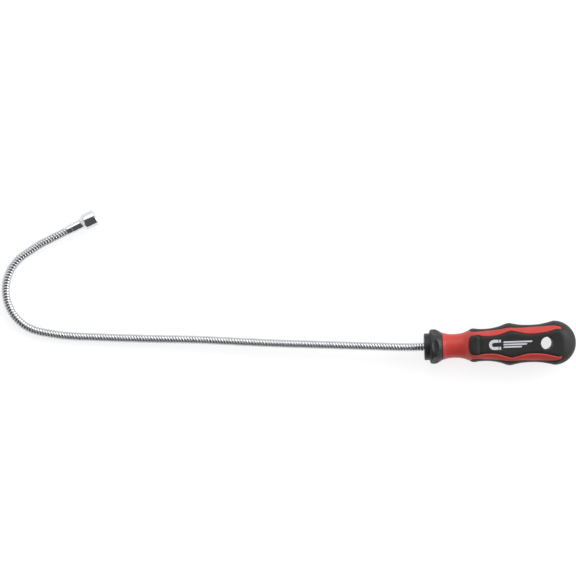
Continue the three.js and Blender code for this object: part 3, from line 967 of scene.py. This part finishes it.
def woundWire(name, frames, begin, end, section, steps, phase, material):
    run, line, tangent, side, other, _ = frames
    count = max(3, int(round((end - begin) / (neck["pitch"] * mm) * steps)) + 1)
    at = np.linspace(begin, end, count)

    def along(values):
        return np.stack([np.interp(at, run, values[:, k]) for k in range(3)], 1)

    centre, ahead, up, left = (along(values) for values in (line, tangent, side, other))
    turn = 2 * math.pi * (at / (neck["pitch"] * mm) + phase)
    outward = up * np.cos(turn)[:, None] + left * np.sin(turn)[:, None]
    shape = np.array(section) * mm
    points = (centre[:, None] + ahead[:, None] * shape[None, :, :1] + outward[:, None] * shape[None, :, 1:])
    size = len(section)
    faces = []
    for i in range(count - 1):
        for j in range(size):
            k = (j + 1) % size
            faces.append((i * size + j, i * size + k, (i + 1) * size + k, (i + 1) * size + j))
    faces += [tuple(range(size - 1, -1, -1)), tuple((count - 1) * size + j for j in range(size))]
    # Painted groove shade for the metal's colour: 1 deep in a groove, falling to 0 towards the crown
    depth = 1 - np.clip((np.array(section)[:, 1] - neck["grooveFrom"]) / neck["grooveOver"], 0, 1)
    values = {"grooveShade": np.tile(depth, count)}
    return makeObject(name, points.reshape(-1, 3), faces, material, values, neck["sharpAngle"])


def makeNeck():
    pieces, middles, bodies = neckPath()
    frames = neckFrames(pieces)
    ends = frames[-1]
    tip = ends[-1]
    profileEnd = tip - (neck["ferruleDepth"] + neck["ferruleGap"]) * mm
    circle = [(neck["roundRadius"] * math.cos(t), neck["roundAt"] + neck["roundRadius"] * math.sin(t))
              for t in np.linspace(0, 2 * math.pi, neck["roundSides"], endpoint=False)]
    for i in range(len(pieces)):
        label = f"{i:02d}"
        begin, end = ends[i], ends[i + 1]
        stop = profileEnd if i == len(pieces) - 1 else end
        outer = woundWire("profileWire_" + label, frames, begin, stop, neck["profile"],
                          neck["profileSteps"], 0, "coilChrome")
        inner = woundWire("roundWire_" + label, frames, begin, end, circle,
                          neck["roundSteps"], neck["roundPhase"], "springSteel")
        for wire, kind, slot in ((outer, "outer", "coil_chrome"), (inner, "inner", "spring_steel")):
            if i == 0:
                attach(wire, "handle")
            else:
                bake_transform(wire)
            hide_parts(f"{kind}_coil_{label}")


# Head: ferrule, cone and cup in one turned shell, with the magnet in its brass ring
head = {
    "length": 24.3, "bore": 2.62, "ferruleRadius": 3.65, "stepAt": 4.2, "stepRise": 0.2, "stepRadius": 3.9,
    "ferruleLength": 12.5, "coneLength": 2.7, "cupRadius": 6.35, "pocketRadius": 5.35, "pocketDepth": 7.1,
    "recess": 0.3, "magnetLength": 5, "magnetRadius": 4.25, "spacerRadius": 5.05, "spacerBore": 4.5,
    "sides": 96,
}


def makeHead():
    ahead = Vector(mounts["magnet_face"]["axis"]).normalized()
    face = Vector(mounts["magnet_face"]["pos_m"])
    origin = face - ahead * (head["length"] - head["recess"]) * mm
    end, cupStart = head["length"], head["ferruleLength"] + head["coneLength"]
    ferrule, step, cup = head["ferruleRadius"], head["stepRadius"], head["cupRadius"]
    shell = rounded([
        (0, head["bore"], 0.12), (0, ferrule, 0.4), (head["stepAt"], ferrule, 0.12),
        (head["stepAt"] + head["stepRise"], step, 0.15), (head["ferruleLength"], step, 1.2),
        (cupStart, cup, 0.9),
        (end, cup, 0.4), (end, head["pocketRadius"], 0.12), (end - head["pocketDepth"], head["pocketRadius"]),
        (end - head["pocketDepth"], head["bore"]),
    ])
    magnetFront = end - head["recess"]
    magnetBack = magnetFront - head["magnetLength"]
    magnet = rounded([(magnetBack, 0), (magnetBack, head["magnetRadius"], 0.25),
                      (magnetFront, head["magnetRadius"], 0.3), (magnetFront, 0)])
    spacer = rounded([(magnetBack, head["spacerRadius"], 0.08), (magnetFront, head["spacerRadius"], 0.1),
                      (magnetFront, head["spacerBore"], 0.1), (magnetBack, head["spacerBore"], 0.08)])
    lastBody = frame["joints"][-1]["child"]
    for name, pairs, material, slot, node in (
        ("headCup", shell, "headChrome", "head_chrome", "head_shell"),
        ("magnetDisc", magnet, "magnetNickel", "magnet_nickel", "magnet"),
        ("spacerRing", spacer, "spacerBrass", "spacer_brass", "magnet_spacer"),
    ):
        made = turnedObject(name, pairs, material, head["sides"], origin, ahead, grooveShade=np.zeros(len(pairs)))
        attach(made, lastBody)
        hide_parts(node)


def dressCadNodes():
    for node, material in (("anchor_sleeve", "sleeveSteel"), ("pole_plate", "plateSteel")):
        mesh = frame["nodes"][node].data
        mesh.materials.clear()
        mesh.materials.append(materials[material])


def makeFloor(middle):
    half = studio["floorSize"] / 2
    points = [(middle.x + x * half, middle.y + y * half, 0) for x, y in ((-1, -1), (1, -1), (1, 1), (-1, 1))]
    material, tree, shader, vector = newMaterial("floorPaper", Roughness=studio["floorRough"],
                                                  Emission_Strength=studio["floorGlow"])
    clouds = addGroup(tree, "clouds", vector, Scale=studio["cloudScale"])
    tone, clouded = studio["floorTone"], studio["cloudTone"]
    color = addMix(tree, clouds["Mask"], (tone,) * 3, (tone * clouded,) * 3)
    tree.links.new(color, shader.inputs["Base Color"])
    glow = addMix(tree, clouds["Mask"], (1.0,) * 3, (clouded,) * 3)
    tree.links.new(glow, shader.inputs["Emission Color"])
    materials["floorPaper"] = material
    makeObject("floor", points, [(0, 1, 2, 3)], "floorPaper")


middle = makeCamera()
makeStudio(middle)
makeFloor(middle)
print("camera, light and floor ready")
makeBody()
makeGrip()
print("handle mouldings made")
makeCore()
makeMark()
makeNeck()
print("gooseneck wound")
makeHead()
dressCadNodes()
print("head made")
